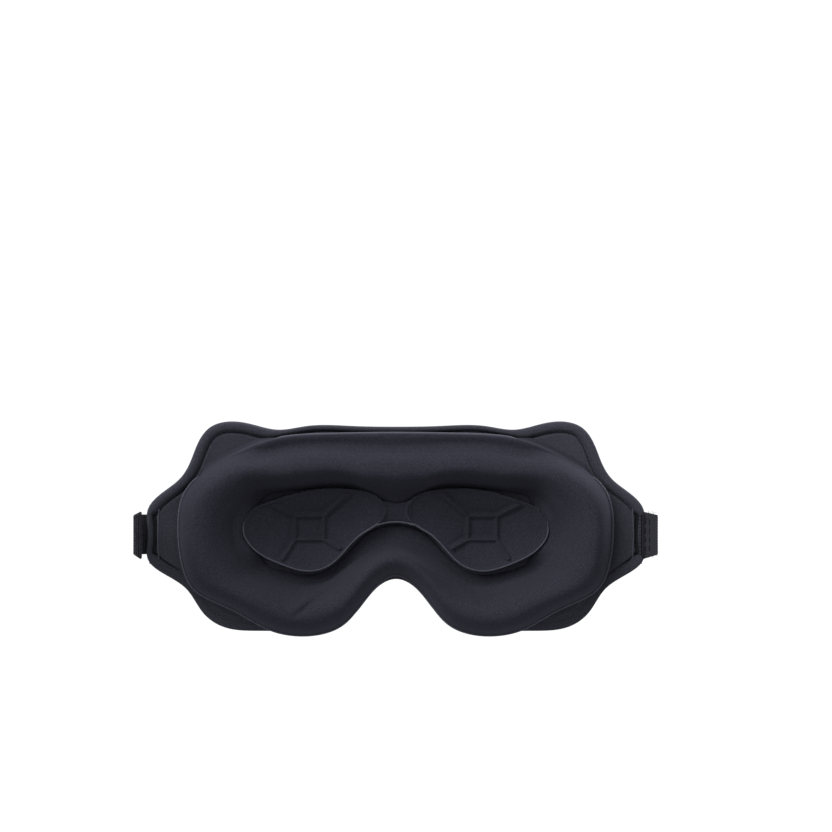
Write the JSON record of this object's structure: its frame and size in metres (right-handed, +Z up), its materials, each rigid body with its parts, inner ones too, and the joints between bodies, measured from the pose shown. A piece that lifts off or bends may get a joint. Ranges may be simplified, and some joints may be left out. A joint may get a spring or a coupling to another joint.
{
  "type": "sleep eye mask",
  "caption": "Moulded sleep eye mask with a deep foam cushion ring, concave eye cups, a domed outer face and an elastic hook-and-loop head strap.",
  "frame": {"origin": "top of the nose notch, on the face side of the lining, at the middle of the mask", "axes": "+X to the wearer's left, +Y towards the wearer's face, +Z up"},
  "size_m": [0.2496, 0.1801, 0.1031],
  "materials": {
    "outer_fabric": "fine matte charcoal knit",
    "lining_fabric": "matte navy-black knit",
    "cushion_fabric": "soft navy-black knit, slightly peached",
    "cup_fabric": "pressed navy-black knit",
    "foam": "soft open-cell foam",
    "elastic_webbing": "ribbed black elastic",
    "hook_tape": "black hook tape",
    "loop_tape": "black loop tape",
    "thread": "black polyester thread"
  },
  "bodies": {
    "mask": {"outer_cover": "outer_fabric", "shell_foam": "foam", "inner_panel": "lining_fabric", "edge_rim": "lining_fabric", "cushion_cover": "cushion_fabric", "cushion_foam": "foam", "left_eye_cup": "cup_fabric", "right_eye_cup": "cup_fabric", "cup_bridge": "cup_fabric", "left_strap_root": "elastic_webbing", "right_strap_root": "elastic_webbing", "left_tab_stitching": "thread", "right_tab_stitching": "thread"},
    "left_strap": {"left_strap_band": "elastic_webbing"},
    "left_strap_end": {"left_strap_tip": "elastic_webbing", "loop_patch": "loop_tape", "loop_patch_stitching": "thread"},
    "right_strap": {"right_strap_band": "elastic_webbing"},
    "right_strap_end": {"right_strap_tip": "elastic_webbing", "hook_patch": "hook_tape", "hook_patch_stitching": "thread"}
  },
  "joints": [
    {"name": "left_strap_swing", "type": "hinge", "parent": "mask", "child": "left_strap", "pos_m": [0.12366, 0.02082, 0.023], "axis": [0, 0, 1], "range_deg": [-85, 25]},
    {"name": "right_strap_swing", "type": "hinge", "parent": "mask", "child": "right_strap", "pos_m": [-0.12366, 0.02082, 0.023], "axis": [0, 0, 1], "range_deg": [-25, 85]},
    {"name": "left_strap_stretch", "type": "slide", "parent": "left_strap", "child": "left_strap_end", "axis": [-0.1562, 0.9861, 0.0576], "range_m": [0, 0.04], "stiffness_N_per_m": 100},
    {"name": "right_strap_stretch", "type": "slide", "parent": "right_strap", "child": "right_strap_end", "axis": [0.1562, 0.9861, 0.0576], "range_m": [0, 0.04], "stiffness_N_per_m": 100}
  ]
}
